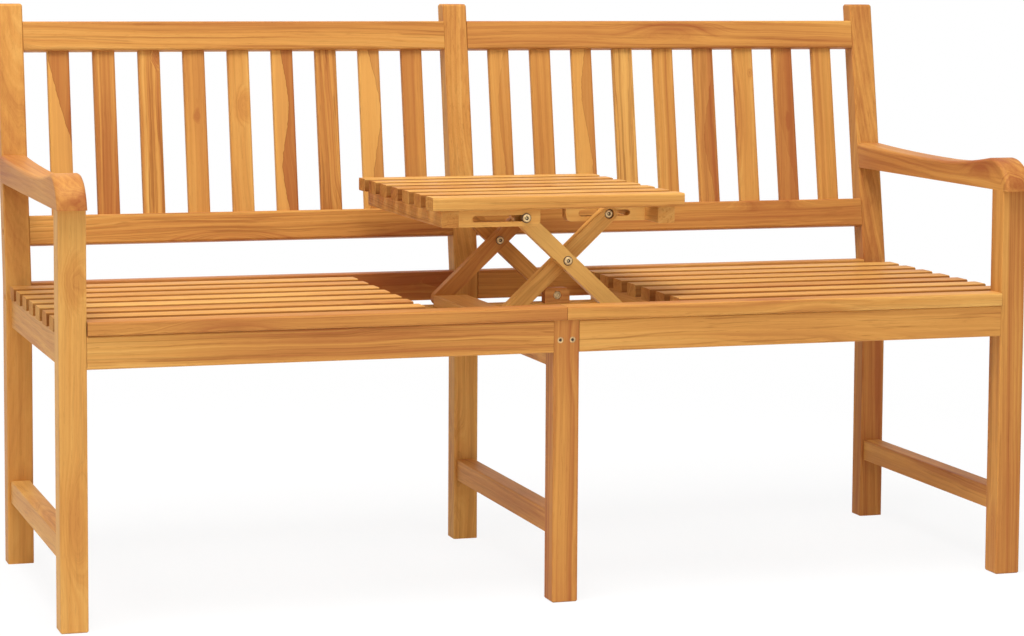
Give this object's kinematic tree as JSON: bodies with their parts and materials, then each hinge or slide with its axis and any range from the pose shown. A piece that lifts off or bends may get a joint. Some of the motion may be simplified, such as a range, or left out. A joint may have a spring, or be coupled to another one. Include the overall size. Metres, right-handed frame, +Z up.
{
  "type": "companion bench with folding table",
  "caption": "Slatted hardwood garden bench with two seats, arm rests and a middle table on a double scissor that folds flush into the seat.",
  "frame": {"origin": "on the ground under the middle of the whole bench", "axes": "+X along the bench to the sitter's left, +Y towards the back rest, +Z up; the front faces -Y"},
  "size_m": [1.506, 0.6262, 0.877],
  "materials": {
    "teak": "fine sanded, bare or lightly oiled",
    "bolt_steel": "satin"
  },
  "bodies": {
    "bench": {"arm_left": "teak", "arm_right": "teak", "back_post_centre": "teak", "back_post_left": "teak", "back_post_right": "teak", "back_seat_rail_left": "teak", "back_seat_rail_right": "teak", "back_slats_left": "teak", "back_slats_right": "teak", "centre_bearer": "teak", "fixed_pivot_bolts": "bolt_steel", "front_apron_left": "teak", "front_apron_right": "teak", "front_leg_centre": "teak", "front_leg_left": "teak", "front_leg_right": "teak", "front_seat_slat_left": "teak", "front_seat_slat_right": "teak", "leg_screws": "bolt_steel", "lower_back_rail_left": "teak", "lower_back_rail_right": "teak", "pivot_block_front": "teak", "pivot_block_rear": "teak", "post_bolts": "bolt_steel", "seat_slats_left": "teak", "seat_slats_right": "teak", "side_seat_rail_left": "teak", "side_seat_rail_right": "teak", "stretcher_centre": "teak", "stretcher_left": "teak", "stretcher_right": "teak", "support_rail_front": "teak", "support_rail_rear": "teak", "top_rail_left": "teak", "top_rail_right": "teak", "well_bearer_left": "teak", "well_bearer_right": "teak"},
    "outer_frame": {"outer_leg_front": "teak", "outer_leg_rear": "teak", "slot_bolts": "bolt_steel", "centre_pivot_bolts": "bolt_steel"},
    "inner_frame": {"inner_leg_front": "teak", "inner_leg_rear": "teak", "table_pivot_bolts": "bolt_steel"},
    "table": {"slotted_rail_front_left": "teak", "slotted_rail_front_right": "teak", "slotted_rail_rear_left": "teak", "slotted_rail_rear_right": "teak", "table_apron_left": "teak", "table_apron_right": "teak", "table_slat_1": "teak", "table_slat_2": "teak", "table_slat_3": "teak", "table_slat_4": "teak", "table_slat_5": "teak", "table_slat_6": "teak", "table_slat_7": "teak"},
    "foot": {"foot_board": "teak", "foot_screws": "bolt_steel"}
  },
  "joints": [
    {"name": "table_fold", "type": "hinge", "parent": "bench", "child": "outer_frame", "pos_m": [0.129, -0.0256, 0.4085], "axis": [0, -1, 0], "range_deg": [0, 43]},
    {"name": "scissor_cross", "type": "hinge", "parent": "outer_frame", "child": "inner_frame", "pos_m": [0.03027, -0.0256, 0.50057], "axis": [0, 1, 0], "range_deg": [0, 86]},
    {"name": "table_level", "type": "hinge", "parent": "inner_frame", "child": "table", "pos_m": [0.10267, -0.0256, 0.56809], "axis": [0, -1, 0], "range_deg": [0, 43]},
    {"name": "foot_level", "type": "hinge", "parent": "inner_frame", "child": "foot", "pos_m": [-0.06846, -0.0256, 0.4085], "axis": [0, -1, 0], "range_deg": [0, 43]}
  ],
  "couplings": [
    {"joint": "scissor_cross", "follows": "table_fold", "ratio": 2},
    {"joint": "table_level", "follows": "table_fold", "ratio": 1},
    {"joint": "foot_level", "follows": "table_fold", "ratio": 1}
  ]
}
